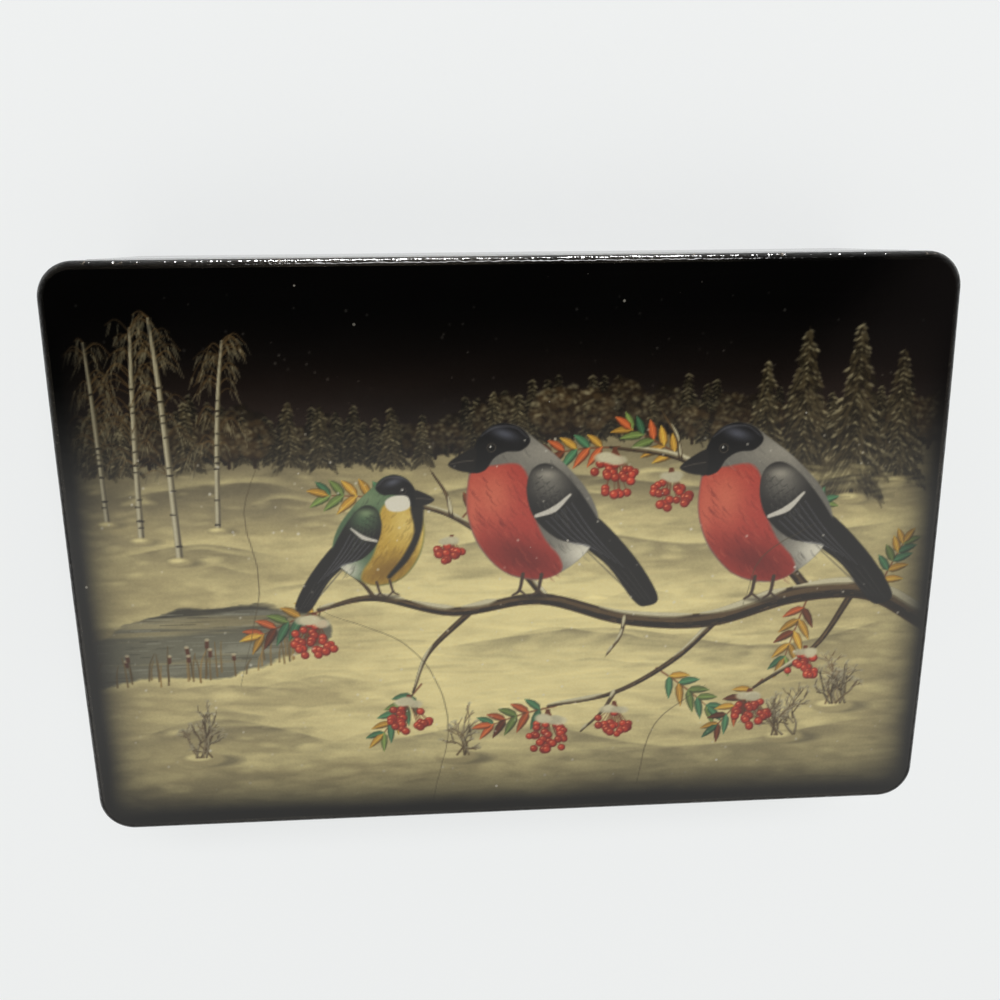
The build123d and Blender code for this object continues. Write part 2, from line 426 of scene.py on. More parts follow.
def bush(rng, x, y, angle, run, wide, depth, tone, frost):  # one stem, which forks
    bend = rng.uniform(-0.25, 0.25)
    ex, ey = x + run * np.cos(angle + bend), y + run * np.sin(angle + bend)
    mx, my = x + 0.5 * run * np.cos(angle), y + 0.5 * run * np.sin(angle)
    stroke([(x, y), (mx, my), (ex, ey)], [wide, 0.85 * wide, 0.6 * wide], tone, 0.9, fine=3)
    if rng.rand() < frost:
        lifted = [(x, y + 0.3 * wide), (mx, my + 0.5 * wide), (ex, ey + 0.4 * wide)]
        snow = col["frost"] * rng.uniform(0.75, 1)
        stroke(lifted, [0.3 * wide, 0.7 * wide, 0.3 * wide], snow, 0.75, fine=3)
    if depth == 0:
        size, snow = rng.uniform(0.25, 0.55), col["frost"] * rng.uniform(0.7, 1.0)
        spot(ex, ey, size, 0.3, snow, frost * rng.uniform(0.4, 1.3), soft=0.4)
        return
    for k in range(rng.randint(2, 4)):
        u = rng.uniform(0.35, 1.0)
        a, b = x + (ex - x) * u, y + (ey - y) * u
        turn, long = angle + rng.uniform(-0.75, 0.75), run * rng.uniform(0.5, 0.8)
        bush(rng, a, b, turn, long, 0.68 * wide, depth - 1, tone, frost)


def paintBushes(rng):
    for x, y, count in bushes["stand"]:
        settle(x, y - 0.6, bushes["heap"])
        for k in range(count):
            foot, angle, run = x + rng.uniform(-3, 3), 1.57 + rng.uniform(-0.8, 0.8), rng.uniform(4, 7)
            tone = col["barkLit"] * rng.uniform(0.55, 1.05)
            bush(rng, foot, y, angle, run, bushes["stem"], bushes["forks"], tone, bushes["frost"])


pond = {
    "shore": ((-97, -19), (-84, -12.5), (-68, -10.5), (-52, -11), (-43, -14.5), (-44, -19), (-52, -22.5),
              (-60, -25.5), (-72, -28), (-86, -27.5), (-98, -29)),
    "rough": 3.0, "streaks": 110,
    "reeds": 46, "reedFoot": ((-97, -72, -52, -43), (-28.5, -27.5, -22.5, -16)), "headed": 0.28,
}


def paintPond(rng):
    rim = [(a + 0.8, b - 1.2) for a, b in pond["shore"]]
    patch(rim, col["snowLit"], 0.65, soft=2.2, rough=pond["rough"])
    part, x, y, mask = patch(pond["shore"], col["ice"], 0.95, soft=0.8, rough=pond["rough"])
    lay(part, col["snowDeep"] * 0.55, mask * 0.75 * ramp(-19, -11, y))
    lay(part, col["iceGleam"], mask * 0.55 * ramp(0.5, 0.8, cloud(x, y, 22, 1.6, 71)))
    lay(part, col["snow"], mask * 0.6 * ramp(0.56, 0.80, cloud(x, y, 30, 1.8, 77)))
    for k in range(pond["streaks"]):
        i, j = rng.randint(x.shape[0]), rng.randint(x.shape[1])
        if mask[i, j] < 1:
            continue
        run, a, b = rng.uniform(0.6, 3.0), x[i, j], y[i, j]
        tone = col["iceGleam"] if rng.rand() < 0.6 else col["snowDeep"] * 0.7
        stroke([(a - run, b), (a + run, b)], [0.15, 0.3, 0.15], tone, rng.uniform(0.2, 0.5), fine=3)
    for k in range(pond["reeds"]):
        a = rng.uniform(-97, -44)
        base = np.interp(a, *pond["reedFoot"]) + rng.uniform(-1.6, 0.8)
        tall, lean = rng.uniform(3, 9), rng.uniform(-1.4, 1.8)
        tone, tip = col["reed"] * rng.uniform(0.45, 1.05), (a + lean, base + tall)
        stroke([(a, base), (a + 0.3 * lean, base + 0.6 * tall), tip], [0.4, 0.3, 0.15], tone, 0.9, fine=4)
        if rng.rand() < pond["headed"]:
            head = [(a + 0.8 * lean, base + 0.82 * tall), tip]
            stroke(head, [0.9, 0.8], col["leafRust"] * 0.8, 0.95, fine=2)
            spot(a + lean, base + tall + 0.2, 0.5, 0.35, col["frost"], 0.8)


def leaflet(rng, x, y, a, size, tone):
    c, s = np.cos(a), np.sin(a)
    middle = (x + 0.5 * size * c, y + 0.5 * size * s - 0.04 * size)
    run = [(x, y), middle, (x + size * c, y + size * s - 0.16 * size)]
    face = [(p - 0.05, q + 0.12) for p, q in run]
    base = col[tone] * rng.uniform(0.82, 1.1)
    stroke(run, [0.12, 0.36 * size, 0.38 * size, 0.26 * size, 0.08], base * 0.5, 0.9, fine=4)
    stroke(face, [0.1, 0.26 * size, 0.28 * size, 0.18 * size, 0.05], base, 0.95, fine=4)
    stroke(run, [0.16, 0.2, 0.12], np.minimum(base * 1.45, 255), 0.7, fine=4)


def leafSpray(rng, x, y, angle, run, tones):
    c, s = np.cos(angle), np.sin(angle)
    sag = -0.12 * run
    middle = (x + 0.5 * run * c, y + 0.5 * run * s + 0.25 * sag)
    tip = (x + run * c, y + run * s + sag)
    stroke([(x, y), middle, tip], [0.4, 0.35, 0.2], col["leafRust"], 0.9, fine=4)
    for k in range(5):
        u = 0.25 + 0.18 * k
        size = run * 0.34 * (1 - 0.28 * abs(u - 0.5))
        for side in (-1, 1):
            a = angle + side * rng.uniform(0.85, 1.1) * (1 - 0.35 * u)
            tone = tones[rng.randint(len(tones))]
            leaflet(rng, x + u * run * c, y + u * run * s + sag * u * u, a, size, tone)
    leaflet(rng, tip[0], tip[1], angle - 0.15, run * 0.3, tones[rng.randint(len(tones))])


def berryCluster(rng, x, y, size, count):
    spots = []
    for k in range(count):
        r, t = size * np.sqrt(rng.uniform(0, 1)), rng.uniform(0, 6.283)
        spots.append((x + r * np.cos(t), y + 0.8 * r * np.sin(t)))
    for a, b in spots:
        top = (x + rng.uniform(-0.4, 0.4), y + 1.25 * size)
        stem = [top, (0.5 * (a + x), 0.5 * (b + y) + 0.5 * size), (a, b)]
        stroke(stem, [0.22, 0.2, 0.18], col["leafRust"], 0.8, fine=3)
    for a, b in sorted(spots, key=lambda q: -q[1]):
        r = rng.uniform(0.85, 1.12)
        red = col["berry"] * rng.uniform(0.82, 1.1)
        spot(a, b, r, r * 0.96, col["berryDeep"])
        spot(a - 0.1 * r, b + 0.14 * r, r * 0.8, r * 0.76, red, 0.95, soft=0.5)
        spot(a - 0.34 * r, b + 0.38 * r, r * 0.26, r * 0.2, col["berryLit"], 0.9, soft=0.25)
    for k in range(5):  # snow on top
        a, b = x + rng.uniform(-0.55, 0.55) * size, y + size * rng.uniform(0.72, 0.98)
        spot(a, b, size * 0.34, size * 0.2, col["frost"] * rng.uniform(0.9, 1.06), 0.92, soft=0.5)


def bough(rng, run, wide, snow=0.75):
    p = through(run, 10)
    w = evenly(wide, len(p))
    stroke(run, wide, col["bark"], fine=8)
    sides = ((-0.22, 0.35, col["bark"] * 0.5, 0.8), (0.12, 0.3, col["barkLit"], 0.6))  # shade, light
    for shift, share, tone, cover in sides:
        line = [(a, b + shift * v) for (a, b), v in zip(p[::4], w[::4])]
        stroke(line, share * w[::4], tone, cover, fine=3)
    for k in range(int(len(p) * 1.6)):  # short lines of bark
        i = rng.randint(len(p) - 1)
        d = (p[i + 1] - p[i]) / max(np.hypot(*(p[i + 1] - p[i])), 1e-6)
        q = p[i] + (0, rng.uniform(-0.4, 0.35) * w[i])
        end = q + d * rng.uniform(0.8, 2.4)
        stroke([q, end], [0.22, 0.12], col["barkLit"] * rng.uniform(0.4, 1.15), 0.6, fine=2)
    i = 0
    while i < len(p) - 3:  # heaps of snow along the top
        n = rng.randint(5, 13)
        part, v = p[i:i + n], w[i:i + n]
        if rng.rand() < snow and len(part) > 3:
            heap = np.interp(np.linspace(0, 1, len(part)), (0, 0.2, 0.6, 1), (0.25, 1.0, 0.85, 0.2))
            size = heap * (0.45 * v + 0.75) * rng.uniform(0.5, 0.95)
            top = [(a, b + 0.42 * q + 0.25) for (a, b), q in zip(part, v)]
            stroke([(a, b - 0.15) for a, b in top], size, col["snowShade"] * 1.05, 0.9, fine=2)
            stroke([(a, b + 0.12) for a, b in top], size * 0.72, col["frost"], 0.95, fine=2)
        i += n


redFinch = {
    "breast": (176, 60, 48), "lit": (210, 106, 78), "deep": (100, 26, 24),
    "back": (112, 108, 98), "backLit": (158, 152, 136), "cheek": None,
}
yellowTit = {
    "breast": (196, 158, 60), "lit": (226, 198, 110), "deep": (116, 84, 30),
    "back": (78, 104, 72), "backLit": (126, 146, 104), "cheek": (226, 220, 198),
}
birdColours = {
    "shadow": (24, 17, 11), "tailLine": (58, 56, 54), "backDeep": (52, 50, 46), "dark": (20, 19, 18),
    "cap": (14, 13, 14), "capSheen": (96, 98, 108), "capGleam": (128, 128, 132),
    "beak": (26, 23, 21), "mouth": (92, 84, 74), "leg": (66, 50, 38),
    "eyeRing": (70, 62, 52), "eye": (4, 4, 4), "eyeLight": (240, 236, 224),
    "wingBar": (212, 206, 190), "quill": (92, 92, 98),
}
songbirdShape = {  # outlines and lines about the bird's middle, as shares of its length
    "tail": ((-0.22, 0.02), (-0.46, -0.20), (-0.62, -0.44), (-0.56, -0.50), (-0.49, -0.47), (-0.34, -0.28),
             (-0.16, -0.12)),
    "body": ((0.40, 0.34), (0.33, 0.46), (0.20, 0.48), (0.08, 0.40), (-0.06, 0.29), (-0.20, 0.14),
             (-0.27, -0.02), (-0.24, -0.16), (-0.12, -0.29), (0.04, -0.36), (0.22, -0.32), (0.36, -0.18),
             (0.43, 0.00), (0.43, 0.18)),
    "breast": ((0.40, 0.24), (0.30, 0.26), (0.17, 0.27), (0.11, 0.18), (0.09, 0.04), (0.02, -0.12),
               (-0.07, -0.23), (-0.08, -0.31), (0.04, -0.355), (0.22, -0.315), (0.355, -0.175),
               (0.425, 0.0), (0.428, 0.16)),
    "cap": ((0.41, 0.335), (0.36, 0.435), (0.27, 0.485), (0.17, 0.465), (0.115, 0.40), (0.16, 0.345),
            (0.24, 0.335), (0.30, 0.30), (0.345, 0.235), (0.41, 0.225)),
    "cheek": ((0.34, 0.31), (0.24, 0.325), (0.17, 0.29), (0.19, 0.22), (0.28, 0.20), (0.35, 0.23)),
    "beak": ((0.395, 0.345), (0.46, 0.325), (0.535, 0.265), (0.50, 0.235), (0.44, 0.222), (0.40, 0.228)),
    "wing": ((0.10, 0.24), (0.02, 0.28), (-0.08, 0.22), (-0.20, 0.08), (-0.33, -0.12), (-0.46, -0.32),
             (-0.34, -0.24), (-0.22, -0.16), (-0.06, -0.13), (0.07, -0.02), (0.12, 0.12)),
    "stripe": ((0.40, 0.2), (0.38, 0.02), (0.27, -0.16), (0.12, -0.30)),
    "capGleam": ((0.37, 0.415), (0.30, 0.462), (0.20, 0.466), (0.13, 0.415)),
    "mouth": ((0.405, 0.285), (0.46, 0.278), (0.525, 0.262)),
    "wingBar": ((-0.11, 0.115), (-0.03, 0.035), (0.065, -0.005)),
    "eye": (0.315, 0.355), "feet": (0.06, -0.455), "legs": (0.02, 0.12),
}
birdShading = {  # x, y, half width, half height, colour, cover, lean
    "body": ((0.0, 0.34, 0.26, 0.12, "backLit", 0.8, 0.0), (-0.2, -0.2, 0.16, 0.13, "white", 0.95, 0.0)),
    "breast": ((0.12, -0.24, 0.30, 0.13, "deep", 0.75, 0.4), (0.30, 0.10, 0.14, 0.20, "lit", 0.9, 0.0),
               (0.40, 0.02, 0.05, 0.24, "lit", 0.7, 0.0)),
    "cap": ((0.25, 0.43, 0.09, 0.035, "capSheen", 0.8, 0.3),),
    "wing": ((0.0, 0.17, 0.15, 0.11, "back", 0.95, 0.0), (0.02, 0.22, 0.08, 0.04, "backLit", 0.9, 0.0)),
}
flock = (  # x, y, length, tilt, side it faces, colours
    (8, 9.6, 43, 0.05, -1, redFinch),
    (62, 8.2, 45, 0.0, -1, redFinch),
    (-33, 4.6, 30, 0.1, 1, yellowTit),
)


def songbird(rng, cx, cy, size, turn, flip, tones):
    c, s = np.cos(turn), np.sin(turn)
    tint = {**col, **birdColours, **tones}

    def put(*points):
        return [(cx + flip * size * (a * c - b * s), cy + size * (a * s + b * c)) for a, b in points]

    def fill(name, colour=None, soft=0.4):
        return patch(put(*songbirdShape[name]), tint[colour or name], soft=soft)

    def draw(name, widths, opacity, soft=0.35, colour=None):
        stroke(put(*songbirdShape[name]), widths, tint[colour or name], opacity, soft=soft)

    def shade(name, clip):
        for a, b, rx, ry, colour, cover, lean in birdShading[name]:
            x, y = put((a, b))[0]
            glow(x, y, rx * size, ry * size, tint[colour], cover, clip, turn=flip * lean)

    a, b = put(songbirdShape["feet"])[0]
    hollow = [(a - 0.11 * size, b + 0.1), (a, b - 0.2), (a + 0.11 * size, b + 0.1)]
    stroke(hollow, [0.3, 0.04 * size, 0.3], tint["shadow"], 0.5, soft=0.9)
    fill("tail", "wing")
    for k in range(4):
        a = 0.03 * k
        line = put((-0.26 + a, -0.06 - a), (-0.44 + a, -0.28 - a * 0.4), (-0.585 + a, -0.47 + 0.2 * a))
        stroke(line, [0.2, 0.25, 0.15], tint["tailLine"], 0.7)
    body = fill("body", "back")
    shade("body", body)
    front = fill("breast", soft=0.7)
    shade("breast", front)
    for clip, count, pale, dark in ((front, 420, "lit", "deep"), (body, 300, "backLit", "backDeep")):
        for k in range(count):  # feathers
            u, v = rng.uniform(-0.2, 0.42), rng.uniform(-0.34, 0.42)
            at = put((u, v))[0]
            if covers(clip, *at) < 1 or (clip is body and covers(front, *at) > 0):
                continue
            tone = tint[pale if rng.rand() < 0.4 + v else dark]
            run = rng.uniform(0.02, 0.05)
            feather = put((u, v), (u - 0.3 * run, v - 0.6 * run), (u - 0.9 * run, v - 1.1 * run))
            wide = rng.uniform(0.2, 0.4)
            stroke(feather, [0.12, wide, 0.1], tone, rng.uniform(0.15, 0.4), fine=2)
    if tones["cheek"]:
        draw("stripe", [0.10 * size, 0.05 * size, 0.05 * size, 0.03 * size], 0.95, 0.6, "dark")
    cap = fill("cap")
    if tones["cheek"]:
        fill("cheek")
    shade("cap", cap)
    draw("capGleam", [0.15, 0.4, 0.35, 0.15], 0.5, 0.5)
    fill("beak")
    draw("mouth", [0.2, 0.25, 0.15], 0.8)
    a, b = put(songbirdShape["eye"])[0]
    spot(a, b, 0.024 * size, 0.024 * size, tint["eyeRing"])
    spot(a, b, 0.018 * size, 0.018 * size, tint["eye"])
    spot(a - 0.2, b + 0.25, 0.22, 0.22, tint["eyeLight"], soft=0.25)
    wing = fill("wing")
    shade("wing", wing)
    for row in range(5):  # rows of small feathers over the shoulder
        for m in range(6):
            u = 0.095 - 0.033 * m - 0.012 * row + rng.uniform(-0.006, 0.006)
            v = 0.235 - 0.042 * row - 0.022 * m + rng.uniform(-0.006, 0.006)
            if covers(wing, *put((u, v))[0]) == 1:
                rim = put((u + 0.018, v + 0.004), (u, v - 0.018), (u - 0.02, v - 0.006))
                stroke(rim, [0.12, 0.3, 0.12], tint["dark"], 0.5, fine=3)
                shaft = put((u + 0.012, v - 0.002), (u - 0.004, v - 0.024))
                stroke(shaft, [0.3, 0.15], tint["backLit"], 0.3, fine=2)
    draw("wingBar", [0.013 * size, 0.034 * size, 0.02 * size], 0.95)
    for k in range(6):
        f = k / 5
        root, tip = (-0.12 + 0.13 * f, 0.07 - 0.10 * f), (-0.42 + 0.20 * f, -0.28 + 0.12 * f)
        quill = put(root, (-0.24 + 0.12 * f, -0.09 - 0.05 * f), tip)
        stroke(quill, [0.22, 0.28, 0.12], tint["quill"], 0.75)
    for u in songbirdShape["legs"]:
        leg = put((u, -0.33), (u + 0.015, -0.42), (u + 0.05, -0.45))
        stroke(leg, [0.02 * size, 0.016 * size, 0.01 * size], tint["leg"])
        stroke(put((u + 0.015, -0.42), (u - 0.03, -0.455)), [0.014 * size, 0.01 * size], tint["leg"])


rowan = {
    "drop": 5.0, "leafSize": 1.12,
    "main": ((99, -14), (84, -6), (66, -6.5), (46, -12), (26, -11), (6, -5.5), (-14, -8), (-32, -4),
             (-45, -6.5)),
    "mainWidths": (5.0, 4.6, 4.2, 3.7, 3.2, 2.7, 2.1, 1.5, 0.7), "mainSnow": 0.8,
    "boughs": (
        (((48, -12), (38, -22), (24, -30), (8, -33)), (1.8, 1.3, 1.0, 0.5)),
        (((-10, -8), (-20, -18), (-24, -28)), (1.5, 1.0, 0.5)),
        (((80, -7), (72, -20), (58, -30)), (1.7, 1.2, 0.6)),
        (((70, -6), (60, 6), (52, 18), (38, 27), (22, 30)), (2.6, 2.0, 1.6, 1.1, 0.6)),
        (((8, -6), (-2, 6), (-14, 15), (-27, 19)), (1.9, 1.5, 1.0, 0.6)),
    ),
    "twigs": (  # from and to
        (52, 18, 60, 25), (38, 27, 34, 37), (-14, 15, -18, 25), (26, -11, 22, -20), (-32, -4, -40, 4),
        (24, -30, 16, -40),
    ),
    "twigWidths": (1.0, 0.7, 0.35), "twigSnow": 0.5,
    "autumn": ("leafYellow", "leafYellow", "leafOrange", "leafGreen", "leafLime", "leafRust"),
    "green": ("leafGreen", "leafLime", "leafGreen", "leafYellow"),
    "sprays": (  # x, y, angle, length, leaves
        (40, 26, 2.5, 15, "autumn"), (58, 9, 0.6, 14, "green"), (70, -6, -1.9, 14, "autumn"),
        (-12, 14, 0.9, 13, "autumn"), (-25, 18.5, 2.9, 15, "green"), (-42, -6, 3.4, 15, "autumn"),
        (34, -24, -0.6, 14, "green"), (10, -33, 3.3, 14, "autumn"), (60, -28, 3.9, 13, "autumn"),
        (-22, -26, 4.0, 13, "green"), (24, 30, 3.1, 14, "autumn"), (86, -7, 1.2, 14, "green"),
    ),
    "berries": (  # x, y, size, count
        (23, 23, 5.4, 26), (36, 19, 4.6, 20), (-28, 11, 5.2, 25), (-46, -14, 5.4, 26), (8, -41, 5.6, 27),
        (24, -38, 4.4, 18), (57, -37, 5.2, 24), (-25, -35, 5.0, 23), (70, -25, 4.2, 17), (-14, 6, 3.6, 13),
    ),
}


def paintRowan(rng):
    drop = rowan["drop"]

    def lower(run):
        return [(a, b - drop) for a, b in run]

    for x, y, a, run, tones in rowan["sprays"]:
        leafSpray(rng, x, y - drop, a, rowan["leafSize"] * run, rowan[tones])
    for run, wide in rowan["boughs"]:
        bough(rng, lower(run), wide)
    bough(rng, lower(rowan["main"]), rowan["mainWidths"], rowan["mainSnow"])
    for a, b, c, d in rowan["twigs"]:
        twig = lower([(a, b), (0.5 * (a + c) + 1, 0.5 * (b + d)), (c, d)])
        bough(rng, twig, rowan["twigWidths"], rowan["twigSnow"])
    for x, y, size, count in rowan["berries"]:
        berryCluster(rng, x, y - drop, size, count)


pictureAge = {
    "cracks": (
        ((-64, -30), (-58, -6), (-60, 12), (-55, 26)), ((-20, -62), (-16, -40), (-24, -22), (-44, -12)),
        ((30, -60), (34, -44), (46, -34)), ((70, 6), (58, -2), (54, -14)),
    ),
    "crack": (74, 64, 42), "crackWidths": (0.1, 0.3, 0.26, 0.1),
    "specks": 360, "speck": (228, 222, 204), "skyFrom": 30, "skyShare": 0.3,
    "lidHalf": (100, 67), "uneven": 2.0,
    "border": ((3.2, 4.2), (2.1, 4.4), (3.4, 6.6), (3.0, 4.0)),  # start and reach: left, right, front, back
}


def paintAge(rng):
    for crack in pictureAge["cracks"]:
        p = through(crack, 9)
        p = p + 0.5 * (np.stack([cloud(p[:, 0] * 3, p[:, 1] * 3, 4, 4, s) for s in (41, 43)], -1) - 0.5)
        stroke(p, pictureAge["crackWidths"], pictureAge["crack"], 0.55, soft=0.25, fine=2)
    for k in range(pictureAge["specks"]):
        r, x, y = rng.uniform(0.13, 0.32), rng.uniform(-92, 92), rng.uniform(-58, 60)
        share = pictureAge["skyShare"] if y > pictureAge["skyFrom"] else 1.0
        spot(x, y, r, r, pictureAge["speck"], rng.uniform(0.2, 0.75) * share)


def fade(inward, start, reach):  # black at the edge, the picture coming up quickly and then slowly
    return 1 - np.exp(-np.maximum(inward - start, 0) / reach)


def paintBorder():
    x, y = np.meshgrid(canvas["xs"], canvas["ys"])
    halfX, halfY = pictureAge["lidHalf"]
    uneven = pictureAge["uneven"] * (cloud(x, y, 22, 22, 51) - 0.5)
    keep = 1.0
    for inward, (start, reach) in zip((halfX + x, halfX - x, halfY + y, halfY - y), pictureAge["border"]):
        keep = keep * fade(inward + uneven, start, reach)
    keep = keep[..., None]
    canvas["rgb"][:] = canvas["rgb"] * keep + col["black"] * (1 - keep)


def paintLid():
    rng = np.random.RandomState(lidPicture["seed"])
    paintGround()
    paintForest(rng)
    paintBanks(rng)
    brushSnow(rng)
    dabSnow(rng)
    paintPond(rng)
    for tree in birches["stand"]:
        birch(rng, *tree)
    paintBushes(rng)
    paintRowan(rng)
    for bird in flock:
        songbird(rng, *bird)
    paintAge(rng)
    paintBorder()


paintLid()
print("picture painted,", canvas["rgb"].shape[1], "by", canvas["rgb"].shape[0], "points")


def places(mesh):
    flat = np.zeros(len(mesh.vertices) * 3)
    mesh.vertices.foreach_get("co", flat)
    return flat.reshape(-1, 3)


def roundCorners(flat):  # the film's corners drawn in to the lid's rounded plan
    corner = lidPicture["corner"]
    straight = (lidPicture["halfX"] - corner, lidPicture["halfY"] - corner)
    past = np.maximum(np.abs(flat) - straight, 0) / corner
    return flat - np.sign(flat) * corner * past * (1 - np.sqrt(1 - 0.5 * past[:, ::-1] ** 2))


def paintBand(index):  # one strip of the paint film, laid on the lid's arch
    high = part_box("lid_panel")[1]
    rise = lidPicture["crown"]
    archRadius = high.y ** 2 / (2 * rise) + rise / 2
    rows, columns = lidPicture["rows"], lidPicture["columns"]
    deselectAll()
    bpy.ops.mesh.primitive_grid_add(x_subdivisions=columns, y_subdivisions=rows, size=1)
    piece = bpy.context.object
    piece.name = piece.data.name = f"painted_band_{index + 1}"
    mesh = piece.data
    place = places(mesh)
    i = np.rint((place[:, 0] + 0.5) * columns).astype(int)
    j = np.rint((place[:, 1] + 0.5) * rows).astype(int) + index * rows
    place[:, :2] = roundCorners(np.stack((canvas["xs"][i], canvas["ys"][j]), -1)) / 1000  # to metres
    place[:, 2] = high.z - archRadius + np.sqrt(archRadius ** 2 - place[:, 1] ** 2) + lidPicture["proud"]
    mesh.vertices.foreach_set("co", place.ravel())
    mesh.update()
    bpy.ops.object.mode_set(mode="EDIT")
    bpy.ops.mesh.select_mode(type="EDGE")
    bpy.ops.mesh.select_all(action="DESELECT")
    bpy.ops.mesh.select_non_manifold()
    bpy.ops.mesh.extrude_edges_move(TRANSFORM_OT_translate={"value": (0, 0, -lidPicture["deep"])})
    bpy.ops.mesh.edge_face_add()
    bpy.ops.mesh.select_all(action="SELECT")
    bpy.ops.mesh.normals_make_consistent(inside=False)
    bpy.ops.object.mode_set(mode="OBJECT")
    bpy.ops.object.shade_smooth_by_angle(angle=lidPicture["smoothAngle"])
    place = places(mesh) * 1000  # back to the canvas, for each point's colour
    i = np.rint((place[:, 0] / lidPicture["halfX"] + 1) * 0.5 * columns).astype(int)
    j = np.rint((place[:, 1] / lidPicture["halfY"] + 1) * 0.5 * rows * lidPicture["bands"]).astype(int)
    light = asLight(np.clip(canvas["rgb"][j, i] / 255, 0, 1))
    paint = mesh.attributes.new("paint", "FLOAT_COLOR", "POINT")
    paint.data.foreach_set("color", np.c_[light, np.ones(len(light))].ravel())
    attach(piece, "lid")
    return piece


bands = [paintBand(index) for index in range(lidPicture["bands"])]
print("paint film laid in", len(bands), "bands")

# finishes


def plug(tree, socket, value):
    if isinstance(value, bpy.types.NodeSocket):
        tree.links.new(value, socket)
    else:
        socket.default_value = value


def addNode(tree, kind, sockets=None, **settings):
    made = tree.nodes.new(kind)
    for key, value in settings.items():
        setattr(made, key, value)
    for key, value in (sockets or {}).items():
        plug(tree, made.inputs[key], value)
    return made


def figure(tree, operation, *values):
    return addNode(tree, "ShaderNodeMath", dict(enumerate(values)), operation=operation).outputs[0]


def times(tree, a, b):
    return figure(tree, "MULTIPLY", a, b)


def step(tree, value, low, high):  # 0 under low, 1 over high, smooth between
    sockets = {"Value": value, "From Min": low, "From Max": high}
    return addNode(tree, "ShaderNodeMapRange", sockets, interpolation_type="SMOOTHSTEP").outputs["Result"]


def noise(tree, at, scale, detail, roughness=0.5, bend=0.0):
    sockets = {"Vector": at, "Scale": scale, "Detail": detail, "Roughness": roughness, "Distortion": bend}
    return addNode(tree, "ShaderNodeTexNoise", sockets).outputs["Fac"]


def mixColour(tree, factor, a, b, blend="MIX"):
    a, b = [side if isinstance(side, bpy.types.NodeSocket) else (*side, 1.0) for side in (a, b)]
    made = addNode(tree, "ShaderNodeMix", data_type="RGBA", blend_type=blend)
    for key, value in ((0, factor), (6, a), (7, b)):  # the colour sockets of this node
        plug(tree, made.inputs[key], value)
    return made.outputs[2]


def objectPlace(tree):
    return tree.nodes.new("ShaderNodeTexCoord").outputs["Object"]


def newGroup(name, inputs, outputs):
    group = bpy.data.node_groups.new(name, "ShaderNodeTree")
    for label, value in inputs.items():
        socket = group.interface.new_socket(label, in_out="INPUT", socket_type="NodeSocketFloat")
        socket.default_value = value
    for label in outputs:
        group.interface.new_socket(label, in_out="OUTPUT", socket_type="NodeSocketFloat")
    return group, group.nodes.new("NodeGroupInput").outputs, group.nodes.new("NodeGroupOutput").inputs


boxShape = {  # metres
    "halfX": 0.100, "halfY": 0.067, "radius": 0.008,
    "archFall": 0.267,  # the lid's top falls by this times y squared
    "seam": 0.0433,
    "redInset": 0.0049, "insetSoft": 0.00004,  # where the red starts, and how softly
    "floorTop": 0.0048, "floorSoft": 0.0001, "lidUnder": 0.04985, "underSoft": 0.00003,
}


def makeOutlineGroup():  # depth inside the box's rounded plan, height, and height with the arch taken out
    sizes = {"Half X": "halfX", "Half Y": "halfY", "Radius": "radius", "Arch": "archFall"}
    sizes = {label: boxShape[key] for label, key in sizes.items()}
    group, given, put = newGroup("plan inset", sizes, ("Inset", "Height", "Crowned"))
    x, y, z = addNode(group, "ShaderNodeSeparateXYZ", {0: objectPlace(group)}).outputs
    past = []
    for side, half in ((x, "Half X"), (y, "Half Y")):
        straight = figure(group, "SUBTRACT", given[half], given["Radius"])
        past.append(figure(group, "SUBTRACT", figure(group, "ABSOLUTE", side), straight))
    over = [figure(group, "MAXIMUM", far, 0.0) for far in past]
    squares = [times(group, far, far) for far in over]
    outside = figure(group, "SQRT", figure(group, "ADD", *squares))
    inside = figure(group, "MINIMUM", figure(group, "MAXIMUM", *past), 0.0)
    inset = figure(group, "SUBTRACT", given["Radius"], figure(group, "ADD", outside, inside))
    crowned = figure(group, "MULTIPLY_ADD", times(group, y, y), given["Arch"], z)
    for label, value in (("Inset", inset), ("Height", z), ("Crowned", crowned)):
        group.links.new(value, put[label])
    return group


lacquerAge = {
    "dustCells": 240.0, "dustSize": 0.10, "dustEdge": 0.02, "dustShare": 0.5,
    "bloom": (22.0, 5.0, 0.62), "bloomFrom": (0.35, 0.75), "bloomShare": 0.6,  # scale, detail, roughness
    "wipes": (25, 420, 420), "wipesTurn": (0, 0, 0.5), "wipesFrom": (0.5, 0.8), "wipesShare": 0.4,
    "peel": (260.0, 2.0), "peelShare": 0.12, "wave": (30.0, 2.0),
    "scratchRuns": ((0.16, 0.0), (-0.40, 0.0), (0.75, 0.0), (0.28, 1.571), (-0.50, 1.571)),  # tilt, turn
    "scratchSize": (0.045, 0.0006, 0.0006), "scratchBend": 2.5,
    "scratchRare": (0.70, 0.82), "scratchWhere": (0.44, 0.64),
}


